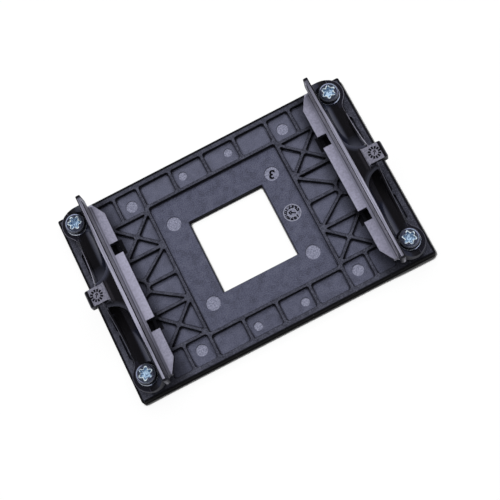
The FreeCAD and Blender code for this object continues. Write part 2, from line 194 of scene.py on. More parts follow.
# Areas of the brackets
INNER_SIDE = (("ax", WALL_INNER_X + 0.1, WALL_INNER_X + 0.02),)
WALL_FACE_AREA = (*INNER_SIDE, ("ax", WALL_INNER_X - 0.2, WALL_INNER_X - 0.05))
WHOLE_WALL = (("ax", WALL_OUTER_X + 0.1, WALL_OUTER_X + 0.05),)
WALL_ENDS_DARK = (
    (("y", -23.0, -30.0, 0.0, 0.7), ("z", 11.5, 14.5)),
    (("y", 18.0, 25.0, 0.0, 0.3), ("z", 11.5, 14.5)),
)
WALL_TIPS = (
    (("y", 31.5, 32.1),),
    (("y", -32.2, -32.4), ("z", 16.1, 16.3)),
    (("y", -32.2, -32.4), ("ax", 39.95, 39.85)),
)
WALL_STEP = (("z", WALL_TOP - 0.5, WALL_TOP - 0.4), ("ax", WALL_INNER_X + 0.03, WALL_INNER_X + 0.08))
WALL_STEP_ENDS = ((("y", 25.0, 21.0),), (("ax", WALL_OUTER_X - 0.5, WALL_OUTER_X - 0.4),))
STRIP_SHADES = (
    (("y", 8.0, 30.0, 0.0, 0.55),),
    (("y", -8.0, -32.0, 0.0, 0.28),),
    (("y", 28.5, 31.0, 0.0, 0.2),),
)
# More painted light on the middle of the left bracket's ledge
LEDGE_MIDDLE_LEFT = (("x", 1.0, -1.0), ("ay", 14.5, 13.5, 0.0, 0.16))
LEDGE_SHADES = (
    (("ay", 13.5, 15.0, 0.0, 0.12),),
    (("y", 24.0, 29.5, 0.0, 0.14),),
    (("y", 22.0, 26.0, 0.0, 0.18), ("ax", 36.9, 38.6)),
    (("x", 1.0, -1.0), ("y", -12.0, -24.0, 0.0, 0.45), ("ax", 38.4, 38.8)),
    (("x", 1.0, -1.0), ("y", 6.0, -20.0, 0.36, 0.55), ("ax", 37.9, 38.4), ("ax", 38.9, 38.4)),
)
LEDGE_FOOT_LINE = (
    *INNER_SIDE,
    ("ax", FOOT_LINE_X - 0.12, FOOT_LINE_X),
    ("ax", FOOT_LINE_X + 0.14, FOOT_LINE_X + 0.02, 0.0, 0.6),
)
EARS = (("ay", BODY_END - 0.1, BODY_END), ("ax", WALL_OUTER_X - 0.05, WALL_OUTER_X - 0.15))
# Inner faces of the back ears, which get painted light, and of the front ears, which get painted shade
BACK_EAR = (*INNER_SIDE, ("y", BODY_END - 0.5, BODY_END - 0.1))
FRONT_EAR = (*INNER_SIDE, ("y", 0.1 - BODY_END, -BODY_END - 0.1), ("facing_up", 0.3, 0.1))
# Trough slopes near the wall, which get a painted bluish reflection
SLOPES = (("facing_up", 0.97, 0.90), ("facing_up", 0.10, 0.25), ("ax", 43.8, 42.8))
# Boss seats and below, lifted a little by painted fill light
SEATS = (("z", SEAT_Z + 0.1, SEAT_Z + 0.05), ("ay", 21.0, 22.0))
NECKS = (("facing_up", 0.99, 0.95), ("ay", 29.0, 30.0), ("ax", WALL_OUTER_X, WALL_OUTER_X + 0.2))
# The lug's face, whose painted sheen fades towards its inner end
LUG_FACE = (
    ("z", LUG_TOP - 0.4, LUG_TOP - 0.2),
    ("facing_up", 0.45, 0.65),
    ("ax", LUG_FACE_END + 0.1, LUG_FACE_END - 0.05),
    ("ax", LUG_INNER_X - 0.1, LUG_INNER_X + 0.75, 0.15, 1.0),
)
# The lug's sloping inner foot, which gets painted light
LUG_FOOT_AREA = (
    ("ax", LUG_INNER_X - 1.0, LUG_INNER_X),
    ("ax", LUG_INNER_X + 0.9, LUG_INNER_X + 0.7),
    ("ay", 4.4, 2.6),
    ("z", WEB_TOP - 0.1, WEB_TOP - 0.02),
    ("z", LUG_TOP - 0.5, LUG_TOP - 0.9),
)
MOUTH_LEVEL = (("z", WEB_TOP - 0.9, WEB_TOP - 0.7), ("z", WEB_TOP + 0.2, WEB_TOP + 0.1))
SCOOP_END_AREA = (
    ("y", -1.0, 1.0),
    ("ay", 11.8, 9.5),
    ("ax", 42.3, 43.2),
    ("ax", 46.6, 46.2),
    ("z", WEB_TOP, WEB_TOP - 0.3),
)
SCOOP_SIDE_AREA = (
    ("y", -14.0, -11.5),
    ("y", -5.2, -5.8),
    ("ax", 41.5, 42.0),
    ("ax", 43.8, 43.2),
    ("z", WEB_TOP - 0.3, WEB_TOP - 0.6),
)
# Painted highlights along the outer top edges of the rim and of the slab round the bosses
RIM_HIGHLIGHT = (
    ("facing_up", 0.05, 0.2),
    ("ax", RIM_OUTER_X - 0.30, RIM_OUTER_X - 0.18),
    ("ay", 2.7, 3.2),
    ("z", SEAT_Z + 0.02, SEAT_Z + 0.1),
    ("z", LUG_TOP, LUG_TOP - 0.3),
)
SLAB_HIGHLIGHT = (
    ("facing_up", 0.15, 0.3),
    ("facing_up", 0.985, 0.955, 0.0, 0.8),
    ("ax", 41.4, 42.4),
    ("z", SEAT_Z - 0.35, SEAT_Z - 0.28),
    ("z", SEAT_Z + 0.02, SEAT_Z),
)

# Areas of the screws
SCREW_FLANGE = (("z", SEAT_Z + 0.55, SEAT_Z + 0.45), ("z", SEAT_Z - 0.1, SEAT_Z))
SCREW_SIDE = (("z", SEAT_Z + 0.5, SEAT_Z + 0.6), ("z", SEAT_Z + 2.5, SEAT_Z + 2.1))
SCREW_SHOULDER = (("z", SEAT_Z + 2.1, SEAT_Z + 2.5),)

# The pale floor: its glow, the reach of the painted soft shade in its reflections and of the painted dark
# line where the plate meets it
FLOOR_GLOW = 0.9
FLOOR_SHADE = 30.0
LINE_REACH = 1.4
# How much of the sky a point of the floor has to see to stay white, and where that is more or less
LINE_SKY = 0.62
LINE_OUTSIDE = ((("ax", 40.0, 44.0),), (("ay", 22.0, 26.0),))
LINE_WIDER = (
    (("x", 48.0, 50.0, 0.0, 0.18), ("ay", 33.4, 33.0)),
    (("x", 28.0, 44.0, 0.0, 0.15), ("y", -32.6, -33.2)),
    (("x", -41.0, -49.0, 0.0, 0.08), ("y", -32.6, -33.2)),
)
LINE_THINNER_IN_WINDOW = (
    (("y", 11.6, 10.8, 0.04, 0.08),),
    (("ax", 11.4, 12.3), ("ay", 11.4, 12.3, 0.0, 0.12)),
)
FLOOR_HALF = 2500.0

# Light: lengths in metres. The ceiling's glow fades as the view rises.
SOFT_BOX_DIRECTION, SOFT_BOX_DISTANCE = (0.10, 0.22, 1.0), 0.8
SOFT_BOX_SIZE, SOFT_BOX_POWER = (1.0, 1.0), 7.6
CEILING_FADE = (0.02, 0.35, 1.0, 0.05)
AMBIENT_COLOR, AMBIENT_STRENGTH = (0.92, 0.95, 1.0, 1.0), 0.15

# Edge rounding
RIB_TOP_EDGE, POCKET_CORNER_EDGE = 0.20, 0.27
BRACKET_EDGE, BOSS_EDGE, BOSS_INNER_X = 0.14, 0.25, 44.0
LEVEL_RISE, UPRIGHT_RISE = 0.1, 0.9
SHARP_ANGLE, FLAT_ANGLE = math.radians(30.0), math.radians(0.5)
WIDEST_EDGE = 1.0
WELD_REACH = 0.002

# Screw heads and shanks: heights from the seat, as in the CAD source, then radii
HEAD_FOOT = (
    (0.0, 1.9), (0.0, 3.30), (0.05, 3.40), (0.13, 3.44), (0.20, 3.43), (0.42, 3.24), (0.50, 3.21),
)
SIDE_TOP, SIDE_RADIUS = 2.36, 3.15
EDGE_ROUND = 0.42
DOME_SLOPE = math.radians(24)
DOME_BULGE = 0.65
DOME_STEPS, EDGE_STEPS, SHANK_STEPS = 6, 6, 90
LAND_Z = 3.06
STAR_MIDDLE, STAR_SWING, STAR_DEPTH = 1.82, 0.36, 1.5
LIP_WIDTH, LIP_DEPTH = 0.40, 0.20
LAND_RADIUS = STAR_MIDDLE + STAR_SWING + LIP_WIDTH / 2 + 0.04
RECESS_TIP = 0.35
# From the recess floor up: depth below the land, then how the star outline is grown and flattened
RECESS_RINGS = (
    (STAR_DEPTH, -0.45, 0.7),
    (0.6, -0.24, 0.9),
    (LIP_DEPTH, -LIP_WIDTH / 2, 1.0),
    (0.0, LIP_WIDTH / 2, 1.0),
)
SHANK_RADIUS, SHANK_LENGTH = 1.72, 7.85
THREAD_ROOT, THREAD_PITCH = 1.42, 0.8
THREAD_START, THREAD_END = 0.6, 0.8
SHANK_CHAMFER = 0.5
POINT_RADIUS = 0.02
# Points in each ring
AROUND = 96
# How far each screw head was left turned, in degrees
SCREW_TURNS = {"right_back": 12, "right_front": 25, "left_back": 40, "left_front": 5}

# Dials and the numeral: bars and letters stand a little off the face below them
PLATE_TEXT_TURN, LUG_DIAL_TURN = math.radians(152), math.radians(60)
DIAL_RADII, DIAL_RING_WIDTH, DIAL_PARTS = (2.88, 1.55), 0.28, 12
LUG_DIAL_RADIUS, LUG_DIAL_SINK = 2.05, 0.02
PLATE_ARROW_REACH = 1.2
NUMBER_RADIUS, ONE_DIGIT_SIZE, TWO_DIGIT_SIZE = 2.1, 1.72, 1.30
NUMBER_BOLDNESS, NUMERAL_BOLDNESS = 0.060, 0.032
NUMERAL, NUMERAL_SIZE = "3", 4.0
STROKE_HEIGHT, LETTER_HALF_HEIGHT = 0.05, 0.03
LETTER_SPACING = 0.85
ARROW_HEAD_LEAN = 2.6

SOCKETS = {
    "color": "Base Color",
    "specular_ior_level": "Specular IOR Level",
    "specular_tint": "Specular Tint",
}


class Nodes:
    """Adds nodes to one tree and links them."""

    def __init__(self, tree):
        self.tree = tree

    def make(self, kind, inputs=None, **settings):
        """Adds a node with its settings and its inputs, which are values or sockets."""
        made = self.tree.nodes.new(kind)
        for key, value in settings.items():
            setattr(made, key, value)
        for key, value in (inputs or {}).items():
            self.feed(made.inputs[key], value)
        return made

    def node(self, kind, inputs=None, **settings):
        """Adds a node of the kinds that materials use."""
        return self.make("ShaderNode" + kind, inputs, **settings)

    def feed(self, socket, value):
        """Links a socket to another one, or sets its value."""
        if isinstance(value, bpy.types.NodeSocket):
            self.tree.links.new(value, socket)
        else:
            socket.default_value = value

    def math(self, operation, first, second=0.0):
        """One step of arithmetic."""
        return self.node("Math", {0: first, 1: second}, operation=operation).outputs[0]

    def vector(self, operation, first, second=(0.0, 0.0, 0.0)):
        """One step of arithmetic with vectors."""
        made = self.node("VectorMath", {0: first, 1: second}, operation=operation)
        return made.outputs["Value" if operation == "DISTANCE" else "Vector"]

    def split(self, vector):
        """The three parts of a vector."""
        return self.node("SeparateXYZ", {"Vector": vector}).outputs

    def ramp(self, value, start, end, low=0.0, high=1.0):
        """Goes smoothly from low to high as value goes from start to end, up or down."""
        limits = {"Value": value, "From Min": start, "From Max": end, "To Min": low, "To Max": high}
        return self.node("MapRange", limits, interpolation_type="SMOOTHSTEP").outputs["Result"]

    def chain(self, operation, shares):
        """Joins all shares by one operation."""
        joined = shares[0]
        for share in shares[1:]:
            joined = self.math(operation, joined, share)
        return joined

    def both(self, *shares):
        """The product of the shares: 1 only where all of them are."""
        return self.chain("MULTIPLY", shares)

    def either(self, *shares):
        """The largest share: 1 where any of them is."""
        return self.chain("MAXIMUM", shares)

    def total(self, *shares):
        """The sum of the shares."""
        return self.chain("ADD", shares)

    def inverse(self, share):
        """0 where the share is 1, and 1 where it is 0."""
        return self.math("SUBTRACT", 1.0, share)


class Graph(Nodes):
    """Builds one material's nodes. Lengths inside it are in millimetres."""

    def __init__(self, name):
        self.material = bpy.data.materials.new(name)
        self.material.use_nodes = True
        super().__init__(self.material.node_tree)
        self.shader = self.tree.nodes["Principled BSDF"]
        self.output = self.tree.nodes["Material Output"]
        self.place = self.vector("MULTIPLY", self.node("TexCoord").outputs["Object"], (1 / MM,) * 3)
        self.x, self.y, self.z = self.split(self.place)
        self.ax, self.ay = self.math("ABSOLUTE", self.x), self.math("ABSOLUTE", self.y)
        self.left = self.ramp(self.x, 1.0, -1.0)
        self.facing_up = self.split(self.node("NewGeometry").outputs["True Normal"])[2]

    def area(self, rows):
        """The share of one area: the product of its rows."""
        return self.both(*(self.ramp(getattr(self, name), *fade) for name, *fade in rows))

    def any_of(self, areas):
        """The largest share of the areas."""
        return self.either(*map(self.area, areas))

    def sum_of(self, areas):
        """The sum of the areas' shares."""
        return self.total(*map(self.area, areas))

    def noise(self, size, detail=2.0, stretch=(1, 1, 1)):
        """Noise whose patches are about size millimetres across."""
        place = self.vector("MULTIPLY", self.place, stretch)
        inputs = {"Vector": place, "Scale": 1 / size, "Detail": detail, "Roughness": 0.5}
        return self.node("TexNoise", inputs).outputs["Fac"]

    def waver(self, size, detail, low=0.0, high=1.0):
        """Wanders between low and high in patches of about size millimetres."""
        return self.ramp(self.noise(size, detail), 0.3, 0.7, low, high)

    def mix(self, share, first, second):
        """The first tint where share is 0, the second where it is 1."""
        made = self.node("Mix", data_type="RGBA")
        self.feed(made.inputs["Factor"], share)
        for socket, value in ((made.inputs[6], first), (made.inputs[7], second)):
            self.feed(socket, value if isinstance(value, bpy.types.NodeSocket) else (*value, 1.0))
        return made.outputs[2]

    def cover(self, color, *layers):
        """Lays each pair of share and tint over the colour, in that order."""
        for share, tint in layers:
            color = self.mix(share, color, tint)
        return color

    def spots(self, table):
        """The layers of a table of spots, as pairs of share and tint."""
        layers = []
        for size, detail, rows in table:
            noise = self.noise(size, detail)
            for start, full, share, tint in rows:
                layers.append((self.ramp(noise, start, full, 0.0, share), tint))
        return layers

    def bump(self, height, depth, strength=1.0, under=None):
        """A bump of the given depth in millimetres."""
        made = self.node("Bump", {"Height": height, "Distance": depth * MM, "Strength": strength})
        if under is not None:
            self.feed(made.inputs["Normal"], under)
        return made.outputs["Normal"]

    def finish(self, **inputs):
        """Feeds the shader and returns the material."""
        for key, value in inputs.items():
            name = SOCKETS.get(key, key.title())
            if isinstance(value, tuple):
                value = (*value, 1.0)
            self.feed(self.shader.inputs[name], value)
        return self.material


def disc_share(g, x, y, centre, radius, soft=0.06):
    """1 inside a round mark, 0 outside it."""
    flat = g.node("CombineXYZ", {"X": x, "Y": y}).outputs[0]
    away = g.vector("DISTANCE", flat, (centre[0], centre[1], 0.0))
    return g.ramp(away, radius + soft, radius - soft)


def plate_base(g, grain):
    """Pocket floors and rib tops. The ribs carry painted shade to the right and painted light to the left.
    """
    cloud = g.noise(22.0, 3.0)
    floor = g.cover(g.mix(cloud, *FLOOR_SLATE), (g.ramp(grain, 0.35, 0.75, 0.0, 0.35), FLOOR_GRAIN))
    rib = g.cover(
        g.mix(cloud, *RIB_SLATE),
        (g.area(RIBS_RIGHT), RIB_SHADED),
        (g.area(RIBS_LEFT), RIB_LIT),
    )
    return g.mix(g.area(RIB_TOPS), floor, rib)


def plate_light(g):
    """Painted light on the pockets outside the middle panel, painted shade under the brackets and at the
    dark feet of the ribs.
    """
    outside = g.both(g.any_of(BESIDE_PANEL), g.area(POCKET_LIGHT))
    open_sky = g.node("AmbientOcclusion", {"Distance": FOOT_REACH * MM}, samples=8).outputs["AO"]
    # Painted shade where pocket floors meet walls, from how much of the sky they see
    foot = g.both(g.ramp(open_sky, 0.88, 0.62, 0.0, 0.92), g.area(POCKET_FEET))
    return (outside, POCKET_PAINTED_LIGHT), (g.area(UNDER_BODY), SHADE_UNDER_BRACKET), (foot, POCKET_FOOT_SHADE)


def plate_marks(g):
    """Pin marks with a painted shadow at one side, and the dial with its two rings."""
    level = g.area(LEVEL_FLOOR)
    lowered = g.math("SUBTRACT", g.ay, g.both(g.math("SIGN", g.y), 0.14))
    shadow = g.either(*(disc_share(g, g.ax, lowered, m, m[2] + 0.04) for m in MARKS))
    marks = g.either(*(disc_share(g, g.ax, g.ay, m, m[2]) for m in MARKS))
    mottle = g.mix(g.waver(0.42, 2.0), *MARK_TINT)
    discs = [disc_share(g, g.x, g.y, DATE_MARK, r) for r in DIAL_RADII]
    holes = [disc_share(g, g.x, g.y, DATE_MARK, r - DIAL_RING_WIDTH) for r in DIAL_RADII]
    rings = g.either(*(g.both(disc, g.inverse(hole)) for disc, hole in zip(discs, holes)))
    return (
        (g.both(shadow, level, 0.75), MARK_SHADOW),
        (g.both(marks, g.area(SUNK_MARK)), mottle),
        (g.both(discs[0], level), g.mix(0.35, mottle, DIAL_TINT)),
        (g.both(rings, level, 0.45), DIAL_RING),
    )


def plate_material():
    """Dark slate moulded plastic, paler on the ejector pin marks, with painted light and shade."""
    g = Graph("moulded_slate_plastic")
    grain = g.noise(0.55, 3.0)
    # The plate's outer sides, which get painted shade
    skirt = g.any_of(PLATE_SIDES)
    # Painted shade on upright faces, rims and the floor seen through the notches
    painted_wall_shade = g.any_of((UPRIGHT_FACES, *SHADE_SEEN_THROUGH_NOTCHES, *PLATE_RIMS))
    color = g.cover(
        plate_base(g, grain),
        *g.spots(PLATE_SPOTS),
        *plate_light(g),
        (painted_wall_shade, g.mix(grain, *PLATE_WALL_SHADE)),
        (skirt, SKIRT_SHADE),
        *plate_marks(g),
        *g.spots(DUST_SPOTS),
    )
    rough = g.both(g.waver(4.0, 2.0, *PLATE_ROUGHNESS), g.ramp(g.facing_up, 0.4, 0.8, 0.3, 1.0))
    rough = g.either(rough, g.both(skirt, SKIRT_ROUGHNESS))
    normal = g.bump(g.noise(0.16, 2.0), 0.012, 0.6)
    return g.finish(color=color, roughness=rough, normal=normal, specular_ior_level=PLATE_SHINE)


def wall_top(g):
    """The eroded strip along the wall's top, which gets a painted sheen, and the black step that stays
    beside it.
    """
    wall_x = g.math("SUBTRACT", g.ax, g.both(g.left, 0.12))
    outer_edge = g.ramp(g.ay, 12.0, 24.0, WALL_OUTER_X - 0.1, WALL_OUTER_X - 0.40)
    inner_edge = WALL_INNER_X + WALL_STEP_WIDTH
    strip = g.both(
        g.ramp(g.z, WALL_TOP - 0.25, WALL_TOP - 0.1),
        g.ramp(wall_x, inner_edge, inner_edge + 0.1),
        g.ramp(g.math("SUBTRACT", wall_x, outer_edge), 0.07, -0.07),
    )
    return strip, g.both(g.area(WALL_STEP), g.inverse(strip), g.any_of(WALL_STEP_ENDS))


def ledge_tint(g, patches):
    """Eroded ledge with flecks, pale from a painted sheen, with a little more painted light in the middle
    of the left bracket.
    """
    middle = (g.area(LEDGE_MIDDLE_LEFT), LEDGE_LEFT_LIGHT)
    return g.cover(g.mix(patches, *LEDGE_SHEEN), *g.spots(LEDGE_SPOTS), middle)


def wall_tint(g, tooling):
    """The wall's inner face with its tooling marks, pale from a painted sheen, with painted shade on the
    left and at its upper ends.
    """
    return g.cover(
        g.mix(g.ramp(tooling, 0.38, 0.62), *WALL_FACE_SHEEN),
        (g.both(g.left, 0.40), WALL_SHADE),
        (g.any_of(WALL_ENDS_DARK), WALL_SHADE),
    )


def strip_tint(g, tooling):
    """The strip on the wall's top, pale from a painted sheen, with painted shade towards its ends, less on
    the left.
    """
    shade = g.both(g.sum_of(STRIP_SHADES), g.ramp(g.x, 1.0, -1.0, 1.0, 0.72))
    return g.mix(shade, g.mix(g.ramp(tooling, 0.40, 0.62), *STRIP_SHEEN), STRIP_SHADE)


def ledge_layers(g, inner):
    """The ledge's rounding and top with painted sheen, its foot line and painted shade, and the ears'
    inner faces with painted light at the back and painted shade at the front.
    """
    patches = g.noise(1.4, 3.0)
    shade = g.both(inner, g.sum_of(LEDGE_SHADES), g.ramp(g.y, 30.1, 29.8))
    return (
        (g.both(inner, g.ramp(g.facing_up, 0.5, 0.8)), g.mix(patches, *LEDGE_ROUNDING_SHEEN)),
        (g.both(inner, g.ramp(g.facing_up, 0.985, 0.998)), ledge_tint(g, patches)),
        (g.area(LEDGE_FOOT_LINE), LEDGE_FOOT),
        (shade, LEDGE_SHADE),
        (g.area(BACK_EAR), EAR_BACK_LIGHT),
        (g.area(FRONT_EAR), EAR_FRONT_SHADE),
    )


def scoop_mouth(g, away):
    """The ring round each scoop's ball end, at the web's top, which carries a painted reflection."""
    return g.both(
        g.ramp(away, SCOOP_RADIUS - 0.3, SCOOP_RADIUS),
        g.ramp(away, SCOOP_RADIUS + 1.9, SCOOP_RADIUS + 0.1),
        g.area(MOUTH_LEVEL),
    )


def scoop_layers(g, away):
    """Painted reflections inside the scoops: on the ball end of the back one and the wall's side of the
    front one.
    """
    end = g.both(g.area(SCOOP_END_AREA), g.ramp(away, SCOOP_RADIUS + 0.05, SCOOP_RADIUS - 0.2))
    end_reflection = g.mix(g.ramp(g.ay, 10.0, 7.2), *SCOOP_END_REFLECTION)
    return (end, end_reflection), (g.area(SCOOP_SIDE_AREA), SCOOP_SIDE_REFLECTION)


def bracket_material():
    """Black plastic: polished in the troughs, eroded on the ledge, wall and lug and paler there from a
    painted sheen, with painted light, shade, highlights and reflections.
    """
    g = Graph("two_finish_black_plastic")
    grain = g.noise(0.4, 3.0)
    tooling = g.noise(0.45, 3.0, stretch=(1, 0.03, 1))
    black = g.mix(grain, *BRACKET_BLACK)
    flat = g.node("CombineXYZ", {"X": g.ax, "Y": g.ay}).outputs[0]
    away = g.vector("DISTANCE", flat, (*SCOOP_AXIS, 0.0))

    inner, in_wall = g.area(INNER_SIDE), g.area(WHOLE_WALL)
    ear, lug = g.area(EARS), g.area(LUG_FACE)
    strip, step = wall_top(g)
    mouth_reflection = scoop_mouth(g, away)
    # Painted highlights along the rim's and the slab's outer top edges
    edge_highlight = g.any_of((RIM_HIGHLIGHT, SLAB_HIGHLIGHT))
    edge_highlight_back = g.mix(g.ramp(g.ay, 20.0, 4.0), *HIGHLIGHT_BACK)
    color = g.cover(
        black,
        (g.area(SLOPES), SLOPE_REFLECTION),
        (g.area(SEATS), SEAT_FILL_LIGHT),
        (g.either(ear, g.area(WALL_FACE_AREA)), wall_tint(g, tooling)),
        (lug, g.mix(g.ramp(grain, 0.35, 0.65), *LUG_SHEEN)),
        *ledge_layers(g, inner),
        (strip, strip_tint(g, tooling)),
        (g.both(g.either(step, g.any_of(WALL_TIPS)), in_wall), black),
        (edge_highlight, g.mix(g.ramp(g.y, 2.0, -2.0), edge_highlight_back, HIGHLIGHT_FRONT)),
        (g.area(LUG_FOOT_AREA), LUG_FOOT_LIGHT),
        (mouth_reflection, g.mix(g.ramp(g.y, 2.0, -2.0), MOUTH_REFLECTION_BACK, MOUTH_REFLECTION_FRONT)),
        *scoop_layers(g, away),
    )
    matte = g.either(inner, strip, ear, lug, edge_highlight, g.area(NECKS), g.both(mouth_reflection, 0.5))
    rough = g.ramp(matte, 0.0, 1.0, POLISHED, MATTE)
    fine = g.bump(g.noise(0.14, 2.0), 0.010, g.ramp(matte, 0.0, 1.0, 0.05, 0.6))
    wave = g.bump(g.noise(6.0, 1.0), 0.05, 0.2, under=fine)
    return g.finish(color=color, roughness=rough, normal=wave, specular_tint=COOL_SHEEN)


def zinc_material():
    """Bluish zinc: dark on the shoulder, with a painted white highlight round the recess, a painted pale
    blue reflection inside it and a painted highlight on the flange.
    """
    g = Graph("blue_zinc")
    axis = (SCREW_X, SCREW_Y)
    inside = disc_share(g, g.ax, g.ay, axis, LAND_RADIUS + 0.02, 0.02)
    outer = g.inverse(disc_share(g, g.ax, g.ay, axis, 2.85))
    depth = g.math("SUBTRACT", SEAT_Z + LAND_Z, g.z)
    recess = g.both(inside, g.ramp(depth, 0.005, 0.03), g.ramp(depth, 2.6, 2.4))
    lip = g.both(recess, g.ramp(depth, LIP_DEPTH + 0.12, LIP_DEPTH + 0.02))
    shoulder = g.both(outer, g.area(SCREW_SHOULDER))
    flange_highlight = g.both(g.area(SCREW_FLANGE), g.ramp(g.noise(2.2, 1.0), 0.42, 0.56, 0.25, 1.0))
    cloud = g.ramp(g.noise(1.3, 2.0), 0.35, 0.65)
    color = g.cover(
        g.mix(cloud, *DOME_ZINC),
        (shoulder, SHOULDER_ZINC),
        (g.both(outer, g.area(SCREW_SIDE)), g.mix(cloud, *SIDE_ZINC)),
        (flange_highlight, FLANGE_HIGHLIGHT),
        # Painted pale blue reflection inside the recess; low metal there lets it show
        (recess, g.mix(g.ramp(g.noise(0.6, 1.0), 0.44, 0.58), *RECESS_REFLECTION)),
        (lip, g.mix(g.ramp(g.noise(0.7, 1.0), 0.38, 0.50), *LIP_HIGHLIGHT)),
    )
    rough = g.total(g.waver(0.3, 2.0, *ZINC_ROUGHNESS), g.both(shoulder, 0.25))
    normal = g.bump(g.noise(0.25, 2.0), 0.010, 0.3)
    # Less metal lets the flange's painted highlight show, and darkens the shoulder
    less_metal = g.total(g.both(flange_highlight, 0.38), g.both(shoulder, 0.35))
    metal = g.math("SUBTRACT", g.ramp(recess, 0.0, 1.0, 0.955, 0.08), less_metal)
    return g.finish(
        color=color, metallic=metal, roughness=rough, normal=normal, specular_tint=ZINC_SHEEN,
    )


def insert_material():
    """Duller zinc on the inserts."""
    g = Graph("dull_zinc")
    color = g.mix(g.noise(0.8, 2.0), *DULL_ZINC)
    rough = g.waver(0.4, 2.0, *DULL_ZINC_ROUGHNESS)
    normal = g.bump(g.noise(0.15, 2.0), 0.01, 0.5)
    return g.finish(color=color, metallic=1.0, roughness=rough, normal=normal)


def dark_mark_material():
    """Dark strokes of the dials and the numeral."""
    g = Graph("engraved_dark")
    color = g.mix(g.noise(0.2, 2.0), *STROKE_BLACK)
    rough = g.waver(0.3, 1.0, *STROKE_ROUGHNESS)
    normal = g.bump(g.noise(0.1, 1.0), 0.004, 0.4)
    return g.finish(color=color, roughness=rough, normal=normal, specular_ior_level=STROKE_SHINE)


def contact_line(g):
    """The floor's glow for the camera: 1 in the open, with a painted contact shadow as a thin dark line
    where the plate meets it.
    """
    near = g.node("AmbientOcclusion", {"Distance": LINE_REACH * MM}).outputs["AO"]
    around = g.any_of(LINE_OUTSIDE)
    window = g.both(g.inverse(around), g.sum_of(LINE_THINNER_IN_WINDOW))
    limit = g.math("SUBTRACT", g.total(g.any_of(LINE_WIDER), LINE_SKY), window)
    line = g.ramp(g.math("SUBTRACT", near, limit), 0.0, 0.065, 0.03, 1.0)
    faint_shade = g.ramp(g.both(around, g.ramp(near, 1.0, 0.66)), 0.0, 1.0, 1.0, 0.965)
    return g.both(line, faint_shade)


def floor_material():
    """A pale floor that shows as white, keeps a faint shadow, returns soft light and has painted shade
    near the object, in its reflections and where the plate meets it.
    """
    g = Graph("pale_floor")
    path = g.node("LightPath")
    glossy = path.outputs["Is Glossy Ray"]
    seen = g.either(path.outputs["Is Camera Ray"], glossy, path.outputs["Is Transmission Ray"])
    g.finish(color=(0.8, 0.8, 0.8), roughness=0.9)
    tint = g.mix(g.noise(60.0, 2.0), (0.12, 0.12, 0.12), (0.13, 0.13, 0.13))
    catcher = g.node("BsdfDiffuse", {"Color": tint})
    open_sky = g.node("AmbientOcclusion", {"Distance": FLOOR_SHADE * MM}).outputs["AO"]
    # Painted shade in the floor's reflections near the object
    mirrored = g.both(glossy, g.ramp(open_sky, 0.55, 0.97, 0.03, FLOOR_GLOW))
    strength = g.total(mirrored, g.both(g.inverse(glossy), contact_line(g), FLOOR_GLOW))
    glow = g.node("Emission", {"Color": (1.0, 1.0, 1.0, 1.0), "Strength": strength})
    white = g.node("AddShader", {0: catcher.outputs[0], 1: glow.outputs[0]})
    mixed = g.node("MixShader", {0: seen, 1: g.shader.outputs[0], 2: white.outputs[0]})
    g.feed(g.output.inputs["Surface"], mixed.outputs[0])
    return g.material


def paint(obj, material):
    """Gives the object this one material."""
    obj.data.materials.clear()
    obj.data.materials.append(material)


class EdgeRules(Nodes):
    """A geometry node group that gives every edge of a piece its own rounding in millimetres."""

    def __init__(self, name):
        super().__init__(bpy.data.node_groups.new(name, "GeometryNodeTree"))
        for side in ("INPUT", "OUTPUT"):
            self.tree.interface.new_socket("Geometry", in_out=side, socket_type="NodeSocketGeometry")
        angle = self.make("GeometryNodeInputMeshEdgeAngle")
        ends = self.make("GeometryNodeInputMeshEdgeVertices")
        first, last = ends.outputs["Position 1"], ends.outputs["Position 2"]
        middle = self.vector("MULTIPLY", self.vector("ADD", first, last), (0.5 / MM,) * 3)
        along = self.vector("NORMALIZE", self.vector("SUBTRACT", last, first))
        x, y, self.z = self.split(middle)
        self.ax, self.ay = self.math("ABSOLUTE", x), self.math("ABSOLUTE", y)
        self.rise = self.math("ABSOLUTE", self.split(along)[2])
        self.sharp = self.math("GREATER_THAN", angle.outputs["Unsigned Angle"], SHARP_ANGLE)
        self.convex = self.math("GREATER_THAN", angle.outputs["Signed Angle"], 0.0)
        self.width = 0.0

    def between(self, value, low, high):
        """1 where the value lies between low and high, else 0."""
        return self.both(self.math("GREATER_THAN", value, low), self.math("LESS_THAN", value, high))

    def rule(self, width, *tests):
        """Where all tests hold, the width replaces what earlier rules gave."""
        share = self.both(*tests)
        self.width = self.total(self.both(self.width, self.inverse(share)), self.both(share, width))

    def apply(self, obj):
        """Adds the modifiers that clean the facets, set the widths and round the edges."""
        group_in = self.make("NodeGroupInput")
        store = self.make("GeometryNodeStoreNamedAttribute", data_type="FLOAT", domain="EDGE")
        self.feed(store.inputs["Geometry"], group_in.outputs["Geometry"])
        self.feed(store.inputs["Name"], "bevel_weight_edge")
        self.feed(store.inputs["Value"], self.both(self.width, self.sharp, 1 / WIDEST_EDGE))
        self.make("NodeGroupOutput", {"Geometry": store.outputs["Geometry"]})
        weld = obj.modifiers.new("weld", "WELD")
        weld.merge_threshold = WELD_REACH * MM
        flat = obj.modifiers.new("flat", "DECIMATE")
        flat.decimate_type = "DISSOLVE"
        flat.angle_limit = FLAT_ANGLE
        split = obj.modifiers.new("triangles", "TRIANGULATE")
        split.min_vertices = 5
        rules = obj.modifiers.new("edge_rules", "NODES")
        rules.node_group = self.tree
        bevel = obj.modifiers.new("edges", "BEVEL")
        bevel.width = WIDEST_EDGE * MM
        bevel.segments = 3
        bevel.limit_method = "WEIGHT"
        bevel.use_clamp_overlap = False
        bevel.loop_slide = False
        normals = obj.modifiers.new("normals", "WEIGHTED_NORMAL")
        normals.keep_sharp = False
        normals.weight = 80


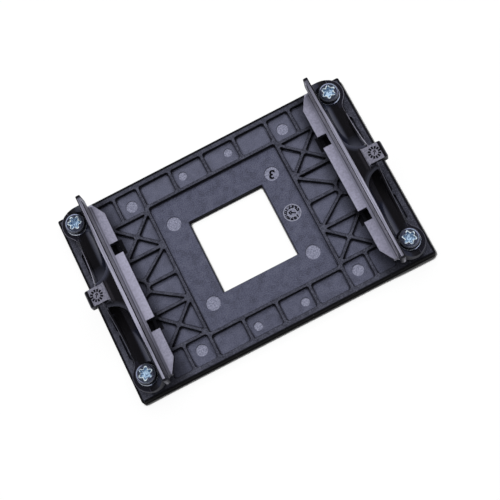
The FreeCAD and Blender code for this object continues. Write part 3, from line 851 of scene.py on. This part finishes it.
def round_plate_edges(obj):
    """Rib tops and pocket corners are rounded, pin marks stay as they are."""
    rules = EdgeRules("plate_edges")
    upright = rules.math("GREATER_THAN", rules.rise, UPRIGHT_RISE)
    rules.rule(RIB_TOP_EDGE, rules.convex)
    rules.rule(POCKET_CORNER_EDGE, upright, rules.between(rules.z, PLATE_FLOOR, PLATE_TOP))
    for x, y, radius in MARKS + (DATE_MARK,):
        dx, dy = rules.math("SUBTRACT", rules.ax, x), rules.math("SUBTRACT", rules.ay, y)
        squares = rules.total(rules.both(dx, dx), rules.both(dy, dy))
        rules.rule(0.0, rules.math("LESS_THAN", squares, (radius + 0.1) ** 2))
    rules.apply(obj)


def round_bracket_edges(obj):
    """Wider rounding on the bosses' outer edges than elsewhere."""
    rules = EdgeRules("bracket_edges")
    level = rules.math("LESS_THAN", rules.rise, LEVEL_RISE)
    seat = rules.between(rules.z, SEAT_Z - 0.05, SEAT_Z + 0.05)
    rules.rule(BRACKET_EDGE, rules.convex)
    rules.rule(BOSS_EDGE, rules.convex, seat, level, rules.math("GREATER_THAN", rules.ax, BOSS_INNER_X))
    rules.apply(obj)


def new_mesh(name, points, faces, material, smooth=False):
    """A mesh piece in millimetres that rides on the one body."""
    mesh = bpy.data.meshes.new(name)
    mesh.from_pydata([tuple(c * MM for c in p) for p in points], [], faces)
    mesh.validate()
    obj = bpy.data.objects.new(name, mesh)
    bpy.context.scene.collection.objects.link(obj)
    paint(obj, material)
    if smooth:
        for face in mesh.polygons:
            face.use_smooth = True
        mesh.set_sharp_from_angle(angle=SHARP_ANGLE)
    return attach(obj, "root")


def ring(z, radius):
    """A ring of points whose radius is a number or a function of the angle."""
    points = []
    for i in range(AROUND):
        angle = 2 * math.pi * i / AROUND
        r = radius(angle) if callable(radius) else radius
        points.append((r * math.cos(angle), r * math.sin(angle), z))
    return points


def star(extra, share):
    """The six lobed outline, grown by extra and flattened by share."""
    return lambda angle: STAR_MIDDLE + extra + share * STAR_SWING * math.cos(6 * angle)


def thread(z):
    """The radius of the threaded shank at a height, as a function of the angle."""
    def radius(angle):
        turn = (z / THREAD_PITCH - angle / (2 * math.pi)) % 1.0
        ridge = 1 - abs(2 * turn - 1)
        fade = min(1.0, (z + SHANK_LENGTH) / THREAD_END, -z / THREAD_START) if z < 0 else 0.0
        return THREAD_ROOT + (SHANK_RADIUS - THREAD_ROOT) * ridge * max(0.0, fade)
    return radius


def head_rings():
    """The rings of the head from the edge of the recess down to the seat."""
    edge_z = SIDE_TOP + EDGE_ROUND * math.cos(DOME_SLOPE)
    edge_r = SIDE_RADIUS - EDGE_ROUND * (1 - math.sin(DOME_SLOPE))
    rings = []
    for i in range(DOME_STEPS + 1):
        share = i / DOME_STEPS
        fall = (1 - DOME_BULGE) * share + DOME_BULGE * share ** 2
        r = LAND_RADIUS + (edge_r - LAND_RADIUS) * share
        rings.append(ring(LAND_Z + (edge_z - LAND_Z) * fall, r))
    for i in range(1, EDGE_STEPS + 1):
        turn = DOME_SLOPE + (math.pi / 2 - DOME_SLOPE) * i / EDGE_STEPS
        z = SIDE_TOP + EDGE_ROUND * math.cos(turn)
        rings.append(ring(z, SIDE_RADIUS - EDGE_ROUND * (1 - math.sin(turn))))
    return rings + [ring(z, r) for z, r in reversed(HEAD_FOOT)]


def screw_rings():
    """All rings of a screw, from the recess floor over the head and down the shank."""
    rings = [ring(LAND_Z - STAR_DEPTH - RECESS_TIP, POINT_RADIUS)]
    rings += [ring(LAND_Z - depth, star(extra, share)) for depth, extra, share in RECESS_RINGS]
    rings += head_rings()
    for i in range(SHANK_STEPS + 1):
        z = -SHANK_LENGTH * i / SHANK_STEPS
        rings.append(ring(z, thread(z)))
    return rings + [ring(-SHANK_LENGTH, THREAD_ROOT - SHANK_CHAMFER), ring(-SHANK_LENGTH, POINT_RADIUS)]


def lathe(name, rings, place, turn, material):
    """A closed piece made of rings, turned about Z and put in its place."""
    points, faces = [], []
    c, s = math.cos(turn), math.sin(turn)
    for points_of_ring in rings:
        for x, y, z in points_of_ring:
            points.append((c * x - s * y + place[0], s * x + c * y + place[1], z + place[2]))
    for k in range(len(rings) - 1):
        for i in range(AROUND):
            a, b = k * AROUND + i, k * AROUND + (i + 1) % AROUND
            faces.append((a, a + AROUND, b + AROUND, b))
    faces.append(tuple(range(AROUND)))
    last = (len(rings) - 1) * AROUND
    faces.append(tuple(range(last + AROUND - 1, last - 1, -1)))
    return new_mesh(name, points, faces, material, smooth=True)


def build_screws(material):
    """Finished screws in place of the CAD's plain ones."""
    rings = screw_rings()
    for place, sx, sy in PLACES:
        spot = (sx * SCREW_X, sy * SCREW_Y, SEAT_Z)
        turn = math.radians(SCREW_TURNS[place])
        piece = lathe("finished_screw_" + place, rings, spot, turn, material)
        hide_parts("screw_" + place)


def bar(points, faces, centre, angle, near, far, width, z):
    """Adds a radial bar, a little wider at its far end, to the lists of points and faces."""
    c, s = math.cos(angle), math.sin(angle)
    first = len(points)
    for level in (z, z + STROKE_HEIGHT):
        for r, w in ((near, -width), (far, -width * 1.25), (far, width * 1.25), (near, width)):
            points.append((centre[0] + r * c - w * s / 2, centre[1] + r * s + w * c / 2, level))
    for quad in ((3, 2, 1, 0), (4, 5, 6, 7), (0, 1, 5, 4), (1, 2, 6, 5), (2, 3, 7, 6), (3, 0, 4, 7)):
        faces.append(tuple(first + i for i in quad))


def arrow(points, faces, centre, reach, z, turn):
    """Adds a small arrow through the centre of a dial."""
    bar(points, faces, centre, turn, -reach, reach * 0.4, reach * 0.30, z)
    tip = (centre[0] + reach * math.cos(turn), centre[1] + reach * math.sin(turn))
    for lean in (ARROW_HEAD_LEAN, -ARROW_HEAD_LEAN):
        bar(points, faces, tip, turn + lean, 0.0, reach * 0.95, reach * 0.26, z)


def lug_dial(name, centre, material):
    """A ring of short bold bars round a small arrow, on a lug's top."""
    points, faces = [], []
    radius, z = LUG_DIAL_RADIUS, LUG_TOP - LUG_DIAL_SINK
    for i in range(DIAL_PARTS):
        turn = LUG_DIAL_TURN + 2 * math.pi / DIAL_PARTS * i
        bar(points, faces, centre, turn, radius * 0.56, radius, radius * 0.25, z)
    arrow(points, faces, centre, radius * 0.42, z, LUG_DIAL_TURN)
    return new_mesh(name, points, faces, material)


def signs(name, words, z, boldness, material):
    """Plain numbers on the backplate that stand a little off a floor.

    Each word is a text, its size, its place and its turn.
    """
    mesh = bpy.data.meshes.new(name)
    shape = bmesh.new()
    for word, size, place, turn in words:
        curve = bpy.data.curves.new(name, "FONT")
        curve.body = word
        curve.size = size * MM
        curve.extrude = LETTER_HALF_HEIGHT * MM
        curve.offset = size * boldness * MM
        curve.space_character = LETTER_SPACING
        curve.align_x, curve.align_y = "CENTER", "CENTER"
        source = bpy.data.objects.new(name + "_source", curve)
        bpy.context.scene.collection.objects.link(source)
        bpy.context.view_layer.update()
        graph = bpy.context.evaluated_depsgraph_get()
        letters = bpy.data.meshes.new_from_object(source.evaluated_get(graph))
        bpy.data.objects.remove(source)
        letters.transform(Matrix.Translation(Vector((*place, z)) * MM) @ Matrix.Rotation(turn, 4, "Z"))
        shape.from_mesh(letters)
    shape.to_mesh(mesh)
    shape.free()
    piece = bpy.data.objects.new(name, mesh)
    bpy.context.scene.collection.objects.link(piece)
    paint(piece, material)
    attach(piece, "root")
    return piece


def build_marks(material):
    """The dial and the numeral on the backplate, and the dials on the lugs."""
    mark_z = PLATE_FLOOR - MARK_DEPTH
    points, faces = [], []
    arrow(points, faces, DATE_MARK[:2], PLATE_ARROW_REACH, mark_z, PLATE_TEXT_TURN)
    new_mesh("plate_dial_arrow", points, faces, material)
    words = []
    for number in range(1, DIAL_PARTS + 1):
        turn = PLATE_TEXT_TURN - 2 * math.pi / DIAL_PARTS * number
        x = DATE_MARK[0] + NUMBER_RADIUS * math.cos(turn)
        y = DATE_MARK[1] + NUMBER_RADIUS * math.sin(turn)
        size = ONE_DIGIT_SIZE if number < 10 else TWO_DIGIT_SIZE
        words.append((str(number), size, (x, y), turn - math.pi / 2))
    letter_z = mark_z + LETTER_HALF_HEIGHT
    signs("plate_dial_numbers", words, letter_z, NUMBER_BOLDNESS, material)
    for side, sx in (("right", 1), ("left", -1)):
        lug_dial("lug_dial_" + side, (sx * LUG_MARK_X, 0.0), material)
    words = [(NUMERAL, NUMERAL_SIZE, MARKS[2][:2], PLATE_TEXT_TURN)]
    signs("plate_numeral", words, letter_z, NUMERAL_BOLDNESS, material)


def soft_box():
    """The one lamp: a large soft box above the object that looks at it."""
    light = bpy.data.lights.new("overhead", "AREA")
    light.shape = "RECTANGLE"
    light.size, light.size_y = SOFT_BOX_SIZE
    light.energy = SOFT_BOX_POWER
    obj = bpy.data.objects.new("overhead", light)
    bpy.context.scene.collection.objects.link(obj)
    back = Vector(SOFT_BOX_DIRECTION).normalized()
    obj.location = back * SOFT_BOX_DISTANCE
    obj.rotation_mode = "QUATERNION"
    obj.rotation_quaternion = back.to_track_quat("Z", "Y")
    obj.visible_glossy = False


def build_world():
    """Shows as white behind the object; only a dim part of it lights the object."""
    world = bpy.data.worlds.new("studio")
    bpy.context.scene.world = world
    world.use_nodes = True
    world.node_tree.nodes.clear()
    tree = Nodes(world.node_tree)
    height = tree.split(tree.node("TexCoord").outputs["Generated"])[2]
    path = tree.node("LightPath")
    to_camera = path.outputs["Is Camera Ray"]
    seen = tree.either(to_camera, path.outputs["Is Glossy Ray"], path.outputs["Is Transmission Ray"])
    bright = tree.either(to_camera, tree.ramp(height, *CEILING_FADE))
    shown = tree.node("Background", {"Color": (1.0, 1.0, 1.0, 1.0), "Strength": bright})
    ambient = tree.node("Background", {"Color": AMBIENT_COLOR, "Strength": AMBIENT_STRENGTH})
    mixed = tree.node("MixShader", {0: seen, 1: ambient.outputs[0], 2: shown.outputs[0]})
    tree.node("OutputWorld", {"Surface": mixed.outputs[0]})


def build_stage():
    """The floor and the lamp."""
    corners = [(sx * FLOOR_HALF, sy * FLOOR_HALF, 0) for sx, sy in ((-1, -1), (1, -1), (1, 1), (-1, 1))]
    floor = new_mesh("floor", corners, [(0, 1, 2, 3)], floor_material())
    soft_box()


def build_camera():
    """The camera that was fitted to the photograph."""
    camera = bpy.data.objects.new("camera", bpy.data.cameras.new("camera"))
    bpy.context.scene.collection.objects.link(camera)
    level = math.cos(ELEVATION)
    back = Vector((math.sin(AZIMUTH) * level, -math.cos(AZIMUTH) * level, math.sin(ELEVATION)))
    camera.location = AIM + back * DISTANCE
    camera.rotation_mode = "QUATERNION"
    camera.rotation_quaternion = back.to_track_quat("Z", "Y") @ Quaternion((0, 0, 1), ROLL)
    camera.data.lens = LENS
    camera.data.sensor_width = SENSOR_WIDTH
    camera.data.clip_start, camera.data.clip_end = CLIP_NEAR, CLIP_FAR
    bpy.context.scene.camera = camera


def main():
    """Dresses the CAD nodes, then adds screws, marks, floor, light and camera."""
    plate, bracket = plate_material(), bracket_material()
    zinc, dull, dark = zinc_material(), insert_material(), dark_mark_material()
    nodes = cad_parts
    paint(nodes["backplate"], plate)
    round_plate_edges(nodes["backplate"])
    for side in ("right", "left"):
        paint(nodes["retention_bracket_" + side], bracket)
        round_bracket_edges(nodes["retention_bracket_" + side])
    for place, _, _ in PLACES:
        paint(nodes["threaded_insert_" + place], dull)
    build_screws(zinc)
    build_marks(dark)
    build_stage()
    build_world()
    build_camera()
    bpy.context.scene.view_settings.view_transform = "Standard"


main()
